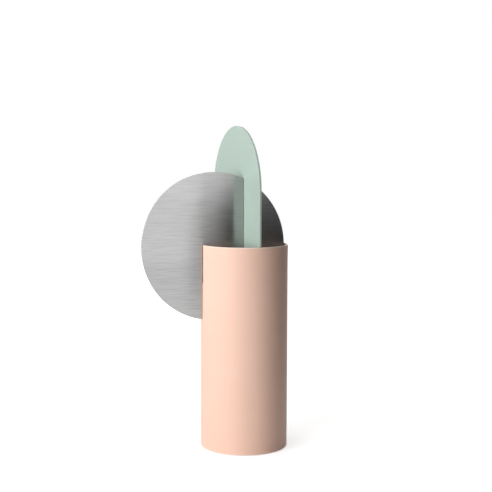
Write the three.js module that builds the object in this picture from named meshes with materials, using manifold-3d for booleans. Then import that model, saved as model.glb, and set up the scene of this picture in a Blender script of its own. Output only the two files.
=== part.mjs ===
// A flower vase made of interlocking metal pieces: a round tube with a welded base, a brushed steel disc that
// stands across the tube's mouth, and a painted plate with round ends that crosses the disc on the tube's axis.
// The sheets halve into each other and into the tube's wall, and lift straight out.
// Millimetres, +Z up. The origin is on the tube's axis, on the surface that the vase stands on.

import * as THREE from 'three';
import { mergeVertices } from 'three/addons/utils/BufferGeometryUtils.js';
import Module from 'manifold-3d';

const wasm = await Module();
wasm.setup();

// Tube and welded base
const TUBE_DIAMETER = 88.9;
const TUBE_WALL = 1.5;
const TUBE_LENGTH = 207.5;
const BASE_THICKNESS = 3;
const WELD_LEG = 2.2;

// Felt under the base: how thick it is, how far it stands below the tube, and its distance from the weld
const FELT_THICKNESS = 3;
const FELT_PROUD = 0.5;
const FELT_MARGIN = 0.8;

// Steel disc, across the mouth along X
const DISC_DIAMETER = 150;
const DISC_THICKNESS = 2;

// Painted plate with half-round ends, along Y but turned a little from square to the disc
const PLATE_WIDTH = 131;
const PLATE_HEIGHT = 197;
const PLATE_THICKNESS = 2;
const PLATE_SKEW_DEGREES = 3.4;

// Halving joints: how far both sheets reach below the rim, how deep the tube is slotted, the room on each side of
// a sheet in the tube's slots and of the tube's wall in the sheets' slots, and the fit where pieces meet
const SHEET_REACH = 76.5;
const SLOT_DEPTH = 38.5;
const SHEET_ROOM = 1.4;
const WALL_ROOM = 0.9;
const CLEARANCE = 0.3;

// Facets round a full circle, and across the weld's rounded face
const ROUND_FACETS = 128;
const BEAD_FACETS = 5;

// Sizes that follow from those above
const plateSkew = THREE.MathUtils.degToRad(PLATE_SKEW_DEGREES);
const outerRadius = TUBE_DIAMETER / 2;
const innerRadius = outerRadius - TUBE_WALL;
const fitRadius = innerRadius - CLEARANCE;
const rimHeight = FELT_PROUD + TUBE_LENGTH;
const baseUnderside = FELT_THICKNESS;
const sheetFoot = rimHeight - SHEET_REACH;
const slotFloor = rimHeight - SLOT_DEPTH;

const discRadius = DISC_DIAMETER / 2;
const discCentreX = fitRadius - discRadius;
const discCentreZ = sheetFoot + discRadius;
const crossingFloor = discCentreZ;

const plateRadius = PLATE_WIDTH / 2;
const plateCentre = plateRadius - fitRadius;

// Finishes
const peachPaint = new THREE.MeshStandardMaterial({ color: 0xf3cdb5, roughness: 0.55, metalness: 0 });
const mintPaint = new THREE.MeshStandardMaterial({ color: 0xbacfc2, roughness: 0.55, metalness: 0 });
const brushedSteel = new THREE.MeshStandardMaterial({ color: 0xbcbcbc, roughness: 0.38, metalness: 1 });
const greyFelt = new THREE.MeshStandardMaterial({ color: 0x4a4846, roughness: 0.95, metalness: 0 });

// A closed geometry as a solid that can be cut
function toSolid(geometry) {
  const bare = geometry.clone();
  bare.deleteAttribute('normal');
  bare.deleteAttribute('uv');
  const merged = mergeVertices(bare);
  const mesh = new wasm.Mesh({
    numProp: 3,
    vertProperties: merged.attributes.position.array,
    triVerts: new Uint32Array(merged.index.array),
  });
  return new wasm.Manifold(mesh);
}

// A geometry with each of the cutters taken out of it
function cut(geometry, cutters) {
  const solid = cutters.reduce((left, cutter) => left.subtract(toSolid(cutter)), toSolid(geometry));
  const { vertProperties, triVerts } = solid.getMesh();
  const result = new THREE.BufferGeometry();
  result.setAttribute('position', new THREE.BufferAttribute(vertProperties, 3));
  result.setIndex(new THREE.BufferAttribute(triVerts, 1));
  result.computeVertexNormals();
  return result;
}

// A profile of [radius, height] points turned about the Z axis
function turned(profile) {
  const points = profile.map(([radius, height]) => new THREE.Vector2(radius, height));
  return new THREE.LatheGeometry(points, ROUND_FACETS).rotateX(Math.PI / 2);
}

// A flat sheet standing on edge along X, with its outline drawn in X and Z and its thickness centred on Y.
// Each arc of the outline gets two facets for each curve segment.
function standingSheet(outline, thickness, arcFacets) {
  const sheet = new THREE.ExtrudeGeometry(outline, {
    depth: thickness,
    bevelEnabled: false,
    curveSegments: arcFacets / 2,
  });
  return sheet.translate(0, 0, -thickness / 2).rotateX(Math.PI / 2);
}

// A box between two corners
function block(low, high) {
  const size = high.map((value, axis) => value - low[axis]);
  const centre = high.map((value, axis) => (value + low[axis]) / 2);
  return new THREE.BoxGeometry(...size).translate(...centre);
}

// The slot through the tube's wall on its +X side that takes a sheet, open at the rim and as far above it
function wallSlot(thickness) {
  const halfWidth = thickness / 2 + SHEET_ROOM;
  const low = [innerRadius - TUBE_WALL, -halfWidth, slotFloor];
  const high = [outerRadius + TUBE_WALL, halfWidth, rimHeight + SLOT_DEPTH];
  return block(low, high);
}

// The slot in a sheet along X that straddles the tube's wall, from below the sheet's foot up to its seat
function straddleSlot(side, thickness) {
  const innerFace = Math.sqrt(innerRadius ** 2 - (thickness / 2) ** 2) - WALL_ROOM;
  const outerFace = outerRadius + WALL_ROOM;
  const [left, right] = side < 0 ? [-outerFace, -innerFace] : [innerFace, outerFace];
  return block([left, -thickness, sheetFoot - SHEET_REACH], [right, thickness, slotFloor + CLEARANCE]);
}

// Half the width of the slot in one sheet that lets the other sheet cross it at the plate's angle
function crossingHalfWidth(thickness, otherThickness) {
  const across = otherThickness / Math.cos(plateSkew) + thickness * Math.abs(Math.tan(plateSkew));
  return across / 2 + CLEARANCE;
}

function named(name, geometry, material) {
  const mesh = new THREE.Mesh(geometry, material);
  mesh.name = name;
  return mesh;
}

// The tube, slotted on its -X side for the disc and on its far side for the plate
function makeTube() {
  const wall = turned([
    [innerRadius, FELT_PROUD],
    [outerRadius, FELT_PROUD],
    [outerRadius, rimHeight],
    [innerRadius, rimHeight],
    [innerRadius, FELT_PROUD],
  ]);
  const discSlot = wallSlot(DISC_THICKNESS).rotateZ(Math.PI);
  const plateSlot = wallSlot(PLATE_THICKNESS).rotateZ(Math.PI / 2 + plateSkew);
  return named('tube', cut(wall, [discSlot, plateSlot]), peachPaint);
}

// The round plate that closes the tube's lower end
function makeBasePlate() {
  const plate = turned([
    [0, 0],
    [fitRadius, 0],
    [fitRadius, BASE_THICKNESS],
    [0, BASE_THICKNESS],
  ]);
  const mesh = named('base_plate', plate, peachPaint);
  mesh.position.z = baseUnderside;
  return mesh;
}

// The quarter-round bead in the corner below the base plate
function makeBaseWeld() {
  const corner = [fitRadius, 0];
  const face = [];
  for (let step = 0; step <= BEAD_FACETS; step += 1) {
    const angle = (step / BEAD_FACETS) * (Math.PI / 2);
    face.push([fitRadius - WELD_LEG * Math.cos(angle), -WELD_LEG * Math.sin(angle)]);
  }
  const mesh = named('base_weld', turned([corner, ...face, corner]), peachPaint);
  mesh.position.z = baseUnderside;
  return mesh;
}

// The felt under the base plate, inside the weld
function makeFeltPad() {
  const radius = fitRadius - WELD_LEG - FELT_MARGIN;
  const pad = turned([
    [0, 0],
    [radius, 0],
    [radius, FELT_THICKNESS],
    [0, FELT_THICKNESS],
  ]);
  return named('felt_pad', pad, greyFelt);
}

// The disc: one slot from below straddles the tube's wall, one from above takes the plate
function makeSteelDisc() {
  const outline = new THREE.Shape().absarc(discCentreX, discCentreZ, discRadius, 0, 2 * Math.PI, false);
  const halfWidth = crossingHalfWidth(DISC_THICKNESS, PLATE_THICKNESS);
  const crossingSlot = block(
    [-halfWidth, -DISC_THICKNESS, crossingFloor],
    [halfWidth, DISC_THICKNESS, discCentreZ + DISC_DIAMETER],
  );
  const wallStraddle = straddleSlot(-1, DISC_THICKNESS);
  const sheet = standingSheet(outline, DISC_THICKNESS, ROUND_FACETS);
  return named('steel_disc', cut(sheet, [crossingSlot, wallStraddle]), brushedSteel);
}

// The plate, drawn along X with its near edge at -X and then turned: both its slots are cut from below
function makeMintPlate() {
  const lowCentre = sheetFoot + plateRadius;
  const highCentre = sheetFoot + PLATE_HEIGHT - plateRadius;
  const outline = new THREE.Shape();
  outline.absarc(plateCentre, highCentre, plateRadius, 0, Math.PI, false);
  outline.absarc(plateCentre, lowCentre, plateRadius, Math.PI, 2 * Math.PI, false);
  outline.closePath();
  const halfWidth = crossingHalfWidth(PLATE_THICKNESS, DISC_THICKNESS);
  const crossingSlot = block(
    [-halfWidth, -PLATE_THICKNESS, sheetFoot - SHEET_REACH],
    [halfWidth, PLATE_THICKNESS, crossingFloor + CLEARANCE],
  );
  const wallStraddle = straddleSlot(1, PLATE_THICKNESS);
  const sheet = standingSheet(outline, PLATE_THICKNESS, ROUND_FACETS / 2);
  const mesh = named('mint_plate', cut(sheet, [crossingSlot, wallStraddle]), mintPaint);
  mesh.rotation.z = Math.PI / 2 + plateSkew;
  return mesh;
}

const vessel = new THREE.Group();
vessel.add(makeTube(), makeBasePlate(), makeBaseWeld(), makeFeltPad());

const vase = new THREE.Group();
vase.add(vessel, makeSteelDisc(), makeMintPlate());

export default vase;
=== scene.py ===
"""The looks of a metal vase: a peach tube on a felt foot, a brushed steel disc and a mint plate.

Every piece is modelled at its real size, in metres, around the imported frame.
"""

import math
from contextlib import contextmanager

import bmesh
import bpy
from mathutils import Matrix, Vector


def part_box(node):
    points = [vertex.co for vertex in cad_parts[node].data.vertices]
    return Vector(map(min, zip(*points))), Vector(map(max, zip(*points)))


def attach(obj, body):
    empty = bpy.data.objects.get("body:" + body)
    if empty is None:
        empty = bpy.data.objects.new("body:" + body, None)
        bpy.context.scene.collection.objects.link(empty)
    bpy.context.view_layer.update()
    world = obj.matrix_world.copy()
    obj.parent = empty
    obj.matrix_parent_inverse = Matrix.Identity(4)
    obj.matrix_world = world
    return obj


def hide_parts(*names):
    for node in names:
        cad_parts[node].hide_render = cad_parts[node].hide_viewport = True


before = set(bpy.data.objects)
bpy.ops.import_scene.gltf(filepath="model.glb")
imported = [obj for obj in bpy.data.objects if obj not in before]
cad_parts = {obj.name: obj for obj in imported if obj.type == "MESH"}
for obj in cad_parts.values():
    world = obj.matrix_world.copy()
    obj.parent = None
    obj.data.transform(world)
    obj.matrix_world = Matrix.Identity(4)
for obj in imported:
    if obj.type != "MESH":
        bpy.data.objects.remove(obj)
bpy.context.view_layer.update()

# Sizes read from the frame
tube_low, tube_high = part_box("tube")
base_low, base_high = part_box("base_plate")
felt_low, felt_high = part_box("felt_pad")
disc_low, disc_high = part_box("steel_disc")
plate_low, plate_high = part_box("mint_plate")
OUTER_RADIUS = tube_high.x
RIM = tube_high.z
BASE_RADIUS = base_high.x
BASE_UNDERSIDE = base_low.z
FELT_RADIUS = felt_high.x
DISC_RADIUS = (disc_high.z - disc_low.z) / 2
DISC_CENTRE = (disc_low + disc_high) / 2
DISC_THICKNESS = disc_high.y - disc_low.y
PLATE_HEIGHT = plate_high.z - plate_low.z

# Sizes that the frame's boxes don't show
TUBE_WALL = 0.0015
PLATE_WIDTH = 0.131
PLATE_THICKNESS = 0.002
PLATE_SKEW = math.radians(3.4)
SLOT_DEPTH = 0.0385
SLOT_FLOOR = RIM - SLOT_DEPTH
WELD_LEG = 0.0022
FIT_GAP = 0.0003
SHEET_ROOM = 0.0014
WALL_ROOM = 0.0009

# Edges broken by deburring and rounded by paint
RIM_EDGE = 0.0006
PAINTED_EDGE = 0.00045
STEEL_EDGE = 0.00025
FELT_EDGE = 0.0008
EDGE_STEPS = 3
FELT_EDGE_STEPS = 4
SHARP_ANGLE = math.radians(40)

# Facets round each piece
TUBE_SIDES = 224
SHEET_SIDES = 320

# How far from its middle the tube's wall is sawn for a slot, in half widths of the slot
SAW_REACH = 4

# The weld's ripples, and the shares of its leg that are rounded off and left flat
WELD_RIPPLES = 168
RIPPLE_STEPS = 4
RIPPLE_HEIGHT = 0.00014
BEAD_STEPS = 6
BEAD_ROUNDED = 0.9
BEAD_FLAT = 0.02
BEAD_SMOOTH_ANGLE = math.radians(50)

# Points this close together are the same
SAME_POINT = 1e-6

UP = Vector((0, 0, 1))


# Modelling

@contextmanager
def editing(piece):
    """Edit mode on that piece alone."""
    bpy.ops.object.select_all(action="DESELECT")
    piece.select_set(True)
    bpy.context.view_layer.objects.active = piece
    bpy.ops.object.mode_set(mode="EDIT")
    yield
    bpy.ops.object.mode_set(mode="OBJECT")


def new_piece(name):
    """Names the primitive that was just added, and puts its place into its mesh."""
    piece = bpy.context.active_object
    piece.name = name
    piece.data.name = name
    bpy.ops.object.transform_apply(location=True, rotation=True, scale=True)
    return piece


def new_round(name, radius, low, high, ends="NGON"):
    """A cylinder about the tube's axis, between two heights, with its ends filled or left open."""
    bpy.ops.mesh.primitive_cylinder_add(
        vertices=TUBE_SIDES,
        radius=radius,
        depth=high - low,
        end_fill_type=ends,
        location=(0, 0, (low + high) / 2),
    )
    return new_piece(name)


def new_circle(name, radius, centre, turn):
    """A flat round face standing on edge, turned that far from the X axis."""
    bpy.ops.mesh.primitive_circle_add(
        vertices=SHEET_SIDES,
        radius=radius,
        fill_type="NGON",
        location=centre,
        rotation=(math.pi / 2, 0, turn),
    )
    return new_piece(name)


def pick_faces(piece, wanted):
    """Selects the faces whose centre is wanted, in edit mode."""
    bpy.ops.mesh.select_mode(type="FACE")
    bpy.ops.mesh.select_all(action="DESELECT")
    mesh = bmesh.from_edit_mesh(piece.data)
    for face in mesh.faces:
        if wanted(face.calc_center_median()):
            face.select_set(True)
    bmesh.update_edit_mesh(piece.data)


def pick_points(piece, wanted):
    """Selects the vertices that are wanted, in edit mode."""
    bpy.ops.mesh.select_mode(type="VERT")
    bpy.ops.mesh.select_all(action="DESELECT")
    mesh = bmesh.from_edit_mesh(piece.data)
    for point in mesh.verts:
        if wanted(point.co):
            point.select_set(True)
    mesh.select_flush(True)
    bmesh.update_edit_mesh(piece.data)


def saw(piece, wanted, point, normal):
    """Cuts the wanted faces along a plane."""
    pick_faces(piece, wanted)
    bpy.ops.mesh.bisect(plane_co=point, plane_no=normal)


def drop_faces(piece, wanted):
    """Deletes the wanted faces."""
    pick_faces(piece, wanted)
    bpy.ops.mesh.delete(type="FACE")


def apply_modifier(piece, kind, **settings):
    """Adds a modifier with those settings and applies it."""
    bpy.context.view_layer.objects.active = piece
    modifier = piece.modifiers.new(kind.title(), kind)
    for name, value in settings.items():
        setattr(modifier, name, value)
    bpy.ops.object.modifier_apply(modifier=modifier.name)


def finish_edges(piece, width, steps=EDGE_STEPS):
    """Rounds every sharp edge and shades the piece so that its large faces stay true."""
    apply_modifier(
        piece, "BEVEL", width=width, segments=steps, limit_method="ANGLE", angle_limit=SHARP_ANGLE)
    bpy.ops.object.select_all(action="DESELECT")
    piece.select_set(True)
    bpy.ops.object.shade_smooth()
    apply_modifier(piece, "WEIGHTED_NORMAL", mode="FACE_AREA", weight=100, keep_sharp=False)


def cut_wall_slot(tube, turn, half_width):
    """Takes a slot out of the tube's open shell, on the side at that turn and down from the rim."""
    along = Vector((math.cos(turn), math.sin(turn), 0))
    across = Vector((-math.sin(turn), math.cos(turn), 0))

    def near(centre):
        return centre.dot(along) > 0 and abs(centre.dot(across)) < SAW_REACH * half_width

    def inside(centre):
        return centre.dot(along) > 0 and abs(centre.dot(across)) < half_width

    for side in (-half_width, half_width):
        saw(tube, near, across * side, across)
    saw(tube, inside, UP * SLOT_FLOOR, UP)
    drop_faces(tube, lambda centre: inside(centre) and centre.z > SLOT_FLOOR)


def cut_sheet_slot(sheet, along, start, end, floor, upward):
    """Takes the slot between start and end out of a flat sheet, above or below its floor."""
    for stop in (start, end):
        saw(sheet, lambda centre: True, along * stop, along)

    def inside(centre):
        return start < centre.dot(along) < end

    saw(sheet, inside, UP * floor, UP)
    drop_faces(sheet, lambda centre: inside(centre) and (centre.z > floor) == upward)


def wall_slot(side):
    """Where a sheet's slot for the tube's wall starts and ends along it, on that side of the axis."""
    ends = (OUTER_RADIUS - TUBE_WALL - WALL_ROOM, OUTER_RADIUS + WALL_ROOM)
    return sorted(side * end for end in ends)


def crossing_half_width(thickness, other):
    """Half the width of the slot in a sheet that lets the other sheet cross it at the plate's angle."""
    across = other / math.cos(PLATE_SKEW) + thickness * math.tan(PLATE_SKEW)
    return across / 2 + FIT_GAP


def model_tube():
    """A rolled wall with a slot for each sheet, given its thickness inwards."""
    tube = new_round("peach_tube", OUTER_RADIUS, tube_low.z, RIM, ends="NOTHING")
    with editing(tube):
        cut_wall_slot(tube, math.pi, DISC_THICKNESS / 2 + SHEET_ROOM)
        cut_wall_slot(tube, math.pi / 2 + PLATE_SKEW, PLATE_THICKNESS / 2 + SHEET_ROOM)
    apply_modifier(tube, "SOLIDIFY", thickness=TUBE_WALL, offset=-1, use_even_offset=True)
    finish_edges(tube, RIM_EDGE)
    return tube


def model_base():
    """The round plate that closes the tube."""
    base = new_round("round_base", BASE_RADIUS, base_low.z, base_high.z)
    finish_edges(base, PAINTED_EDGE)
    return base


def model_weld():
    """A quarter-round bead swept round the base, raised in ripples."""
    corner = Vector((BASE_RADIUS, 0, BASE_UNDERSIDE))
    half_leg = WELD_LEG / 2
    bpy.ops.mesh.primitive_plane_add(
        size=WELD_LEG,
        location=corner - Vector((half_leg, 0, half_leg)),
        rotation=(math.pi / 2, 0, 0),
    )
    bead = new_piece("weld_bead")
    rings = WELD_RIPPLES * RIPPLE_STEPS

    def off_corner(point):
        return point.x < corner.x - half_leg and point.z < corner.z - half_leg

    def on_crest(point):
        inside = corner.x - math.hypot(point.x, point.y)
        below = corner.z - point.z
        ring = round(math.atan2(point.y, point.x) / (2 * math.pi / rings))
        return min(inside, below) > WELD_LEG * BEAD_FLAT and ring % RIPPLE_STEPS == 0

    with editing(bead):
        pick_points(bead, off_corner)
        bpy.ops.mesh.bevel(offset=WELD_LEG * BEAD_ROUNDED, segments=BEAD_STEPS, affect="VERTICES")
        bpy.ops.mesh.select_all(action="SELECT")
        bpy.ops.mesh.delete(type="ONLY_FACE")
        bpy.ops.mesh.select_all(action="SELECT")
        bpy.ops.mesh.spin(steps=rings, angle=2 * math.pi, center=(0, 0, 0), axis=UP)
        bpy.ops.mesh.select_all(action="SELECT")
        bpy.ops.mesh.remove_doubles(threshold=SAME_POINT)
        bpy.ops.mesh.normals_make_consistent(inside=False)
        pick_points(bead, on_crest)
        bpy.ops.transform.shrink_fatten(value=RIPPLE_HEIGHT)
    bpy.ops.object.shade_smooth_by_angle(angle=BEAD_SMOOTH_ANGLE)
    return bead


def model_felt():
    """A disc of pressed felt with soft edges."""
    felt = new_round("felt_foot", FELT_RADIUS, felt_low.z, felt_high.z)
    finish_edges(felt, FELT_EDGE, FELT_EDGE_STEPS)
    return felt


def lay_grain(disc):
    """The disc's grain: U runs across the scratches and V along them, level on its faces."""
    mesh = disc.data
    grain = mesh.uv_layers.new(name="Grain")
    full_turn = 2 * math.pi
    for face in mesh.polygons:
        on_edge = abs(face.normal.y) < 0.5
        around_edge = math.atan2(face.center.z - DISC_CENTRE.z, face.center.x - DISC_CENTRE.x)
        for loop in face.loop_indices:
            point = mesh.vertices[mesh.loops[loop].vertex_index].co
            if on_edge:
                angle = math.atan2(point.z - DISC_CENTRE.z, point.x - DISC_CENTRE.x)
                angle += full_turn * round((around_edge - angle) / full_turn)
                grain.data[loop].uv = (point.y, angle * DISC_RADIUS)
            else:
                grain.data[loop].uv = (point.z, point.x)


def model_steel_disc():
    """A flat disc slotted from above for the plate and from below for the tube's wall."""
    disc = new_circle("brushed_disc", DISC_RADIUS, DISC_CENTRE, 0)
    along = Vector((1, 0, 0))
    half = crossing_half_width(DISC_THICKNESS, PLATE_THICKNESS)
    with editing(disc):
        cut_sheet_slot(disc, along, -half, half, DISC_CENTRE.z, True)
        cut_sheet_slot(disc, along, *wall_slot(-1), SLOT_FLOOR + FIT_GAP, False)
    apply_modifier(disc, "SOLIDIFY", thickness=DISC_THICKNESS, offset=0)
    finish_edges(disc, STEEL_EDGE)
    lay_grain(disc)
    return disc


def model_mint_plate():
    """A round sheet pulled apart at its middle, so that its sides run straight, slotted twice from below."""
    near_end = OUTER_RADIUS - TUBE_WALL - FIT_GAP
    radius = PLATE_WIDTH / 2
    along = Vector((-math.sin(PLATE_SKEW), math.cos(PLATE_SKEW), 0))
    low_centre = along * (radius - near_end) + UP * (plate_low.z + radius)
    plate = new_circle("mint_sheet", radius, low_centre, math.pi / 2 + PLATE_SKEW)
    half = crossing_half_width(PLATE_THICKNESS, DISC_THICKNESS)
    with editing(plate):
        pick_points(plate, lambda point: point.z > low_centre.z - SAME_POINT)
        bpy.ops.transform.translate(value=UP * (PLATE_HEIGHT - PLATE_WIDTH))
        cut_sheet_slot(plate, along, -half, half, DISC_CENTRE.z + FIT_GAP, False)
        cut_sheet_slot(plate, along, *wall_slot(1), SLOT_FLOOR + FIT_GAP, False)
    apply_modifier(plate, "SOLIDIFY", thickness=PLATE_THICKNESS, offset=0)
    finish_edges(plate, PAINTED_EDGE)
    return plate


# Finishes, with colours that are linear and noise scales for each metre

# The values that most of a noise, and of a mix of two noises, lies between
NOISE_SPAN = (0.3, 0.7)
MIX_SPAN = (0.35, 0.65)

# Powder coats: the two close colours of each, and a paler one along the edges, partly where the coat thins
# and partly a painted highlight on the edges
PEACH_COLOURS = ((0.91, 0.6, 0.475, 1), (0.935, 0.625, 0.5, 1), (0.98, 0.88, 0.8, 1))
MINT_COLOURS = ((0.39, 0.495, 0.435, 1), (0.405, 0.515, 0.45, 1), (0.5, 0.62, 0.55, 1))
COAT_ROUGHNESS = (0.47, 0.55)
COAT_BUMP = 0.00002
COAT_SHINE = 0.3
PIGMENT_SHARE = 0.35
PIGMENT_HEIGHT = 0.25

# How far from an edge the coat thins and the painted edge highlight reaches, the cosine of the normal's lean
# there, and how much of the coat goes, which sets how much of the paler edge colour is laid on
THIN_EDGE_HIGHLIGHT_REACH = 0.0022
THIN_EDGE_HIGHLIGHT_LEAN = (0.999, 0.95)
THIN_EDGE_HIGHLIGHT_SHARE = (0.5, 1.0)

# Steel: scratches across and along them, its shades and its lacquer, which stops just short of the edges
BROAD_SCRATCHES = (700, 30, 1)
FINE_SCRATCHES = (4200, 70, 1)
STEEL_PATCHES = (18, 9, 1)
FINE_SHARE = 0.35
STEEL_SHADES = ((0.31, 0.31, 0.31, 1), (0.44, 0.44, 0.44, 1))
STEEL_ROUGHNESS = (0.25, 0.27)
SCRATCH_ROUGHNESS = 0.06
SCRATCH_BUMP = 0.000005
LACQUER_ROUGHNESS = 0.06
LACQUER_IOR = 2
LACQUER_START = 0.0001
LACQUER_FULL = 0.00002

# Felt
FELT_GREYS = ((0.045, 0.043, 0.041, 1), (0.11, 0.106, 0.1, 1))
FELT_ROUGHNESS = (0.9, 1.0)
FELT_BUMP = 0.0003
FELT_SHEEN = 0.25
CLUMP_SHARE = 0.4
FIBRE_HEIGHT = 0.5


class Board:
    """Places nodes in one tree, and links each value that comes from another node."""

    def __init__(self, tree):
        self.tree = tree

    def node(self, kind, settings=None, **inputs):
        """A node with its settings and inputs, where an input's name has spaces for underscores."""
        made = self.tree.nodes.new(kind)
        for name, value in (settings or {}).items():
            setattr(made, name, value)
        for name, value in inputs.items():
            self.feed(made.inputs[name.replace("_", " ")], value)
        return made

    def feed(self, socket, value):
        """Links a socket to another node's value, or sets it to a plain one."""
        if isinstance(value, bpy.types.NodeSocket):
            self.tree.links.new(value, socket)
        else:
            socket.default_value = value

    def place(self):
        """The point on the piece, in its own space."""
        return self.node("ShaderNodeTexCoord").outputs["Object"]

    def math(self, operation, *values):
        """A sum on plain values."""
        made = self.node("ShaderNodeMath", {"operation": operation})
        for socket, value in zip(made.inputs, values):
            self.feed(socket, value)
        return made.outputs["Value"]

    def vector(self, operation, *values):
        """A sum on vectors."""
        made = self.node("ShaderNodeVectorMath", {"operation": operation})
        for socket, value in zip(made.inputs, values):
            self.feed(socket, value)
        return made.outputs["Value" if operation in ("LENGTH", "DOT_PRODUCT") else "Vector"]

    def range(self, value, low, high, to_low, to_high):
        """A value carried from one range to another and kept in it."""
        inputs = {"From_Min": low, "From_Max": high, "To_Min": to_low, "To_Max": to_high}
        return self.node("ShaderNodeMapRange", Value=value, **inputs).outputs["Result"]

    def spread(self, noise, low, high):
        """A noise stretched over a range."""
        return self.range(noise, *NOISE_SPAN, low, high)

    def mix(self, first, share, second):
        """A value with that share of the first and the rest of the second."""
        return self.math("MULTIPLY_ADD", first, share, self.math("MULTIPLY", second, 1 - share))

    def noise(self, place, scale=1, detail=2.0, roughness=0.5):
        """A noise between 0 and 1."""
        inputs = {"Vector": place, "Scale": scale, "Detail": detail, "Roughness": roughness}
        return self.node("ShaderNodeTexNoise", **inputs).outputs["Fac"]

    def blend(self, share, first, second):
        """A colour between two others."""
        made = self.node("ShaderNodeMix", {"data_type": "RGBA"})
        for name, value in (("Factor_Float", share), ("A_Color", first), ("B_Color", second)):
            self.feed(next(socket for socket in made.inputs if socket.identifier == name), value)
        return next(socket for socket in made.outputs if socket.identifier == "Result_Color")

    def bump(self, height, strength, depth):
        """A normal that follows a height."""
        inputs = {"Strength": strength, "Distance": depth, "Height": height}
        return self.node("ShaderNodeBump", **inputs).outputs["Normal"]


def new_group(name, *outputs):
    """An empty shader group with those values as its outputs, its board and the node that takes them."""
    group = bpy.data.node_groups.new(name, "ShaderNodeTree")
    for output in outputs:
        group.interface.new_socket(name=output, in_out="OUTPUT", socket_type="NodeSocketFloat")
    board = Board(group)
    return group, board, board.node("NodeGroupOutput")


def new_material(name):
    """A material, its board and its shader."""
    material = bpy.data.materials.new(name)
    material.use_nodes = True
    return material, Board(material.node_tree), material.node_tree.nodes["Principled BSDF"]


def make_coat_group():
    """Powder coat: a fine orange peel, pigment that varies a little, and a thinner coat along the edges,
    where a paler colour also paints a highlight.
    """
    group, board, result = new_group("powder_coat", "Tone", "Thin_Edge_Highlight", "Roughness", "Height")
    place = board.place()
    clouds = board.noise(place, scale=22, detail=3)
    pigment = board.noise(place, scale=3200, detail=1)
    peel = board.noise(place, scale=420, roughness=0.4)
    board.feed(result.inputs["Tone"], board.mix(pigment, PIGMENT_SHARE, clouds))

    # This edge mask paints a paler colour along every edge: partly a thinner coat, partly a painted highlight
    # standing in for light caught by the edges.
    rounded = board.node("ShaderNodeBevel", {"samples": 4}, Radius=THIN_EDGE_HIGHLIGHT_REACH).outputs["Normal"]
    true_normal = board.node("ShaderNodeNewGeometry").outputs["Normal"]
    edge = board.range(board.vector("DOT_PRODUCT", rounded, true_normal), *THIN_EDGE_HIGHLIGHT_LEAN, 0.0, 1.0)
    board.feed(result.inputs["Thin_Edge_Highlight"], board.math("MULTIPLY", edge, board.spread(clouds, *THIN_EDGE_HIGHLIGHT_SHARE)))

    board.feed(result.inputs["Roughness"], board.spread(peel, *COAT_ROUGHNESS))
    board.feed(result.inputs["Height"], board.math("MULTIPLY_ADD", pigment, PIGMENT_HEIGHT, peel))
    return group


def make_coat(name, group, deep, light, thin_coat_highlight):
    """A powder coat between two close colours, with a third, paler one along its edges, partly where it thins
    and partly a painted highlight.
    """
    material, board, shader = new_material(name)
    skin = board.node("ShaderNodeGroup", {"node_tree": group}).outputs
    body = board.blend(board.range(skin["Tone"], *MIX_SPAN, 0.0, 1.0), deep, light)
    # Paler along the edges: partly the thinner coat, partly a painted highlight.
    board.feed(shader.inputs["Base Color"], board.blend(skin["Thin_Edge_Highlight"], body, thin_coat_highlight))
    board.feed(shader.inputs["Roughness"], skin["Roughness"])
    board.feed(shader.inputs["Normal"], board.bump(skin["Height"], strength=0.25, depth=COAT_BUMP))
    shader.inputs["Specular IOR Level"].default_value = COAT_SHINE
    return material


def make_steel():
    """Brushed steel: scratches that draw its highlights out across them, and clear lacquer on its faces."""
    material, board, shader = new_material("brushed_steel")
    grain = board.node("ShaderNodeUVMap", {"uv_map": "Grain"}).outputs["UV"]

    def scratches(scales, detail):
        return board.noise(board.vector("MULTIPLY", grain, scales), detail=detail, roughness=0.6)

    broad = scratches(BROAD_SCRATCHES, 3)
    fine = scratches(FINE_SCRATCHES, 2)
    patches = scratches(STEEL_PATCHES, 2)
    tone = board.mix(fine, FINE_SHARE, broad)
    board.feed(shader.inputs["Base Color"], board.blend(board.spread(tone, 0.0, 1.0), *STEEL_SHADES))
    smooth = board.spread(patches, *STEEL_ROUGHNESS)
    board.feed(shader.inputs["Roughness"], board.math("MULTIPLY_ADD", broad, SCRATCH_ROUGHNESS, smooth))
    board.feed(shader.inputs["Normal"], board.bump(tone, strength=1.0, depth=SCRATCH_BUMP))
    shader.inputs["Metallic"].default_value = 1
    shader.inputs["Anisotropic"].default_value = 1
    tangent = board.node("ShaderNodeTangent", {"direction_type": "UV_MAP", "uv_map": "Grain"})
    board.feed(shader.inputs["Tangent"], tangent.outputs["Tangent"])

    depth = board.node("ShaderNodeSeparateXYZ", Vector=board.place()).outputs["Y"]
    off_middle = board.math("ABSOLUTE", depth)
    face = DISC_THICKNESS / 2
    lacquer = board.range(off_middle, face - LACQUER_START, face - LACQUER_FULL, 0.0, 1.0)
    board.feed(shader.inputs["Coat Weight"], lacquer)
    shader.inputs["Coat Roughness"].default_value = LACQUER_ROUGHNESS
    shader.inputs["Coat IOR"].default_value = LACQUER_IOR
    return material


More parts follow.
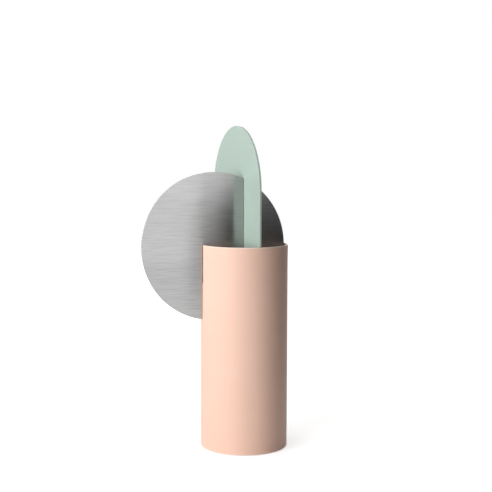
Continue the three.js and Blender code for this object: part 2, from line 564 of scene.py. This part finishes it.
def make_felt():
    """Pressed wool felt: short matted fibres in several greys."""
    material, board, shader = new_material("grey_felt")
    place = board.place()
    matted = board.noise(place, scale=900, detail=4, roughness=0.7)
    clumps = board.noise(place, scale=90)
    cells = board.node("ShaderNodeTexVoronoi", {"feature": "DISTANCE_TO_EDGE"}, Vector=place, Scale=1500)
    shade = board.mix(clumps, CLUMP_SHARE, matted)
    board.feed(shader.inputs["Base Color"], board.blend(board.spread(shade, 0.0, 1.0), *FELT_GREYS))
    board.feed(shader.inputs["Roughness"], board.spread(matted, *FELT_ROUGHNESS))
    height = board.math("MULTIPLY_ADD", cells.outputs["Distance"], FIBRE_HEIGHT, matted)
    board.feed(shader.inputs["Normal"], board.bump(height, strength=0.8, depth=FELT_BUMP))
    shader.inputs["Sheen Weight"].default_value = FELT_SHEEN
    return material


# Studio

CAMERA_AZIMUTH = math.radians(-18.268)
CAMERA_DISTANCE = 1.01336
CAMERA_HEIGHT = 0.29468
CAMERA_TILT = math.radians(5.003)
CAMERA_PAN = math.radians(-0.075)
CAMERA_ROLL = math.radians(0.199)
PHOTO_SIDE = 492
FOCAL_PIXELS = 996.24
SENSOR = 36.0

WHITE = (1, 1, 1, 1)
BLACK = (0, 0, 0, 1)
AMBIENT = 0.01

# The floor's glow near the object and in reflections, and where it has turned white for the camera
FLOOR_SIDE = 12
FLOOR_PAINT = (0.8, 0.8, 0.8, 1)
FLOOR_GLOW = 0.6
MIRRORED_GLOW = 0.6
FLOOR_FADE = (0.3, 1.2)

# Softboxes: azimuth in degrees, distance, height, height aimed at, width, upright side and watts
SOFTBOXES = (
    ("key", -60.5, 1.6, 0.42, 0.16, 1.3, 0.84, 24.5),
    ("top", 0, 0, 1.25, 0, 0.45, 0.45, 5),
    ("back", -145, 1.9, 0.8, 0.2, 1.5, 1.2, 7.5),
    ("fill", 155, 1.9, 0.8, 0.2, 1.0, 1.2, 8),
)
STRIP = ("strip", 11, 1.55, 0.6, 0.25, 0.5, 1.2, 1.2)

# Columns of the graded card: X, Y, the heights of its foot, of its dark part and of its top, and its darkness
CARD_COLUMNS = (
    (-0.038, -0.1, (0.12, 0.2, 0.22, 0.28), 0.0),
    (-0.014, -0.1, (0.12, 0.2, 0.225, 0.285), 0.6),
    (0.012, -0.1, (0.12, 0.2, 0.235, 0.295), 1.0),
    (0.05, -0.1, (0.1, 0.18, 0.245, 0.335), 1.0),
    (0.1, -0.1, (0.08, 0.14, 0.255, 0.35), 1.0),
    (0.15, -0.09, (0.02, 0.06, 0.5, 0.8), 1.0),
    (0.5, 0.1, (0.0, 0.02, 0.9, 1.3), 1.0),
)
CARD_LEVELS = 4


def around(azimuth, distance, height):
    """A point that far from the tube's axis, with azimuth 0 in front of the disc and positive towards +X."""
    return Vector((math.sin(azimuth) * distance, -math.cos(azimuth) * distance, height))


def make_camera():
    """The camera, placed by fitting the outlines of the pieces."""
    data = bpy.data.cameras.new("camera")
    data.sensor_width = SENSOR
    data.lens = FOCAL_PIXELS * SENSOR / PHOTO_SIDE
    camera = bpy.data.objects.new("camera", data)
    camera.location = around(CAMERA_AZIMUTH, CAMERA_DISTANCE, CAMERA_HEIGHT)
    camera.rotation_euler = (math.pi / 2 - CAMERA_TILT, -CAMERA_ROLL, CAMERA_AZIMUTH + CAMERA_PAN)
    bpy.context.scene.collection.objects.link(camera)
    bpy.context.scene.camera = camera


def make_softbox(name, azimuth, distance, height, aim_height, width, upright, watts):
    """A rectangular lamp, aimed at a height on the tube's axis."""
    data = bpy.data.lights.new(name, "AREA")
    data.shape = "RECTANGLE"
    data.size = width
    data.size_y = upright
    data.energy = watts
    lamp = bpy.data.objects.new(name, data)
    lamp.location = around(math.radians(azimuth), distance, height)
    lamp.rotation_mode = "QUATERNION"
    lamp.rotation_quaternion = (UP * aim_height - lamp.location).to_track_quat("-Z", "Y")
    bpy.context.scene.collection.objects.link(lamp)
    return lamp


def make_world():
    """A backdrop that is white for the camera and in reflections, with a little ambient light."""
    world = bpy.data.worlds.new("studio")
    bpy.context.scene.world = world
    world.use_nodes = True
    board = Board(world.node_tree)
    path = board.node("ShaderNodeLightPath").outputs
    mirrored = board.math("MAXIMUM", path["Is Glossy Ray"], path["Is Transmission Ray"])
    seen = board.math("MAXIMUM", path["Is Camera Ray"], mirrored)
    background = world.node_tree.nodes["Background"]
    background.inputs["Color"].default_value = WHITE
    board.feed(background.inputs["Strength"], board.range(seen, 0.0, 1.0, AMBIENT, 1.0))


def make_floor():
    """A pale floor that turns white for the camera away from the object, and is pale in reflections."""
    bpy.ops.mesh.primitive_plane_add(size=FLOOR_SIDE, location=(0, 0, 0))
    floor = bpy.context.active_object
    floor.name = "floor"
    material, board, shader = new_material("pale_floor")
    away = board.vector("LENGTH", board.place())
    path = board.node("ShaderNodeLightPath").outputs
    direct = board.math("MAXIMUM", path["Is Camera Ray"], path["Is Transmission Ray"])
    white = board.math("MULTIPLY", direct, board.range(away, *FLOOR_FADE, FLOOR_GLOW, 1.0))
    mirrored = board.math("MULTIPLY", path["Is Glossy Ray"], MIRRORED_GLOW)
    board.feed(shader.inputs["Emission Strength"], board.math("MAXIMUM", white, mirrored))
    shader.inputs["Emission Color"].default_value = WHITE
    shader.inputs["Base Color"].default_value = FLOOR_PAINT
    shader.inputs["Roughness"].default_value = 1
    shader.inputs["Specular IOR Level"].default_value = 0
    floor.data.materials.append(material)


def make_graded_card():
    """A card that only reflections see, dark in its middle and faded out to its foot and its top."""
    bpy.ops.mesh.primitive_grid_add(x_subdivisions=CARD_LEVELS - 1, y_subdivisions=len(CARD_COLUMNS) - 1)
    card = bpy.context.active_object
    card.name = "graded_card"
    shares = card.data.attributes.new("Dark", "FLOAT", "POINT").data
    for column, (across, back, heights, dark) in enumerate(CARD_COLUMNS):
        for level, (height, share) in enumerate(zip(heights, (0.0, dark, dark, 0.0))):
            point = CARD_LEVELS * column + level
            card.data.vertices[point].co = (across, back, height)
            shares[point].value = share
    material, board, shader = new_material("graded_card")
    dark = board.node("ShaderNodeAttribute", {"attribute_name": "Dark"}).outputs["Fac"]
    board.feed(shader.inputs["Alpha"], dark)
    shader.inputs["Base Color"].default_value = BLACK
    shader.inputs["Specular IOR Level"].default_value = 0
    card.data.materials.append(material)
    card.visible_camera = False
    card.visible_diffuse = False
    card.visible_shadow = False


# Vase

coat_group = make_coat_group()
peach = make_coat("peach_powder_coat", coat_group, *PEACH_COLOURS)
mint = make_coat("mint_powder_coat", coat_group, *MINT_COLOURS)
steel = make_steel()
felt_grey = make_felt()

PIECES = (
    (model_tube, "tube", "vessel", "peach_paint", peach),
    (model_base, "base_plate", "vessel", "peach_paint", peach),
    (model_weld, "base_weld", "vessel", "peach_paint", peach),
    (model_felt, "felt_pad", "vessel", "grey_felt", felt_grey),
    (model_steel_disc, "steel_disc", "disc", "brushed_steel", steel),
    (model_mint_plate, "mint_plate", "plate", "mint_paint", mint),
)
made = {}
for model, node, body, slot, material in PIECES:
    piece = made[node] = model()
    piece.data.materials.append(material)
    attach(piece, body)
    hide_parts(node)

# Light and view

make_camera()
make_world()
make_floor()
for softbox in SOFTBOXES:
    make_softbox(*softbox)
strip = make_softbox(*STRIP)
strip.visible_diffuse = False
make_graded_card()

bpy.context.scene.view_settings.view_transform = "Standard"
